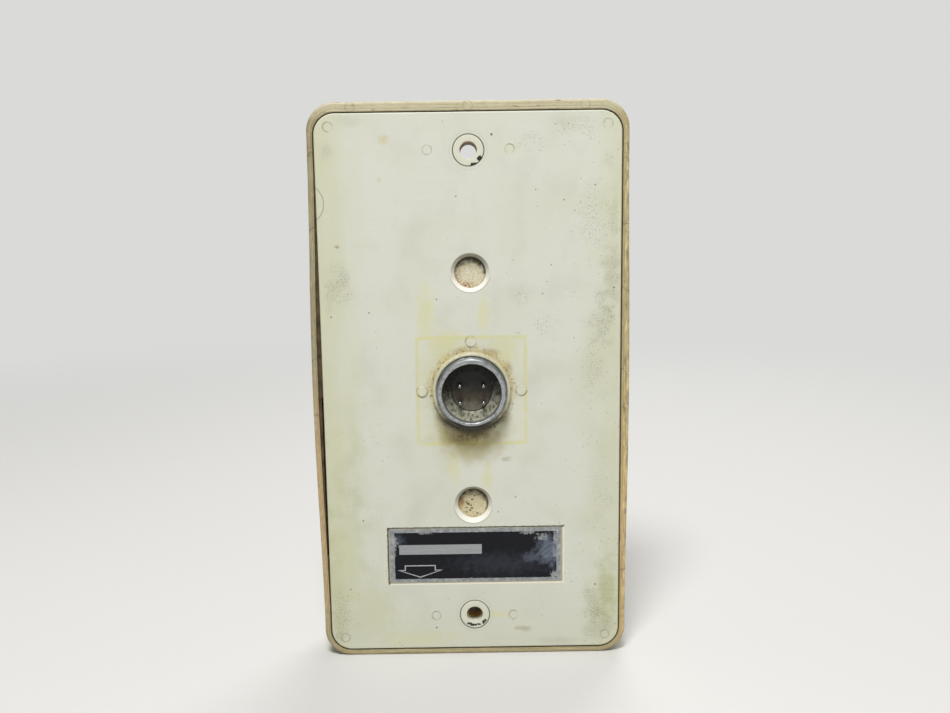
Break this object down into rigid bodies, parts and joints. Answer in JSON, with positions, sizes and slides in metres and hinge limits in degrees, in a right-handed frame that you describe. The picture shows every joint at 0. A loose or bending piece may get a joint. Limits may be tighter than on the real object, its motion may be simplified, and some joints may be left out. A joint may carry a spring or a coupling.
{
  "type": "radio loop antenna",
  "caption": "Flat crossed-loop radio antenna: moulded housing with an inset base plate, a threaded receptacle, potting fill holes and a bolt hole at each end.",
  "frame": {"origin": "middle of the mounting face, on the axis of the receptacle and half way between the two mounting holes", "axes": "-Y out of the mounting face towards the surface it bolts to, +Z along the length to the aft end, +X to the right when the mounting face is seen with its aft end up"},
  "size_m": [0.1151, 0.034, 0.204],
  "materials": {
    "housing_plastic": "moulded, yellowed, satin",
    "plate_plastic": "moulded, fine grained, satin",
    "adhesive": "cured bead, dull",
    "bushing_metal": "turned, painted over and chipped",
    "potting_compound": "cast, granular",
    "data_plate_foil": "black printed foil, worn",
    "shell_metal": "plated, dull and worn",
    "insert_plastic": "moulded, brown",
    "contact_metal": "plated, tarnished",
    "gasket_rubber": "die cut sheet",
    "screw_steel": "zinc plated",
    "ferrite": "pressed and fired, matt",
    "former_plastic": "moulded",
    "copper_winding": "enamelled copper wire",
    "pad_rubber": "cut sponge rubber",
    "board_laminate": "glass epoxy laminate",
    "can_steel": "drawn, nickel plated",
    "resistor_body": "moulded",
    "capacitor_body": "dipped",
    "red_insulation": "extruded insulation",
    "blue_insulation": "extruded insulation"
  },
  "bodies": {
    "root": {"housing": "housing_plastic", "base_plate": "plate_plastic", "edge_adhesive": "adhesive", "aft_bushing": "bushing_metal", "forward_bushing": "bushing_metal", "potting": "potting_compound", "nameplate": "data_plate_foil", "connector_shell": "shell_metal", "connector_insert": "insert_plastic", "contact_pins": "contact_metal", "connector_gasket": "gasket_rubber", "flange_screws": "screw_steel", "ferrite_core": "ferrite", "former_front": "former_plastic", "former_rear": "former_plastic", "fore_aft_winding": "copper_winding", "lateral_winding": "copper_winding", "core_pads": "pad_rubber", "circuit_board": "board_laminate", "board_screws": "screw_steel", "matching_transformers": "ferrite", "amplifier_cans": "can_steel", "resistors": "resistor_body", "capacitors": "capacitor_body", "board_terminals": "contact_metal", "connector_leads": "red_insulation", "winding_leads": "blue_insulation"}
  },
  "joints": []
}
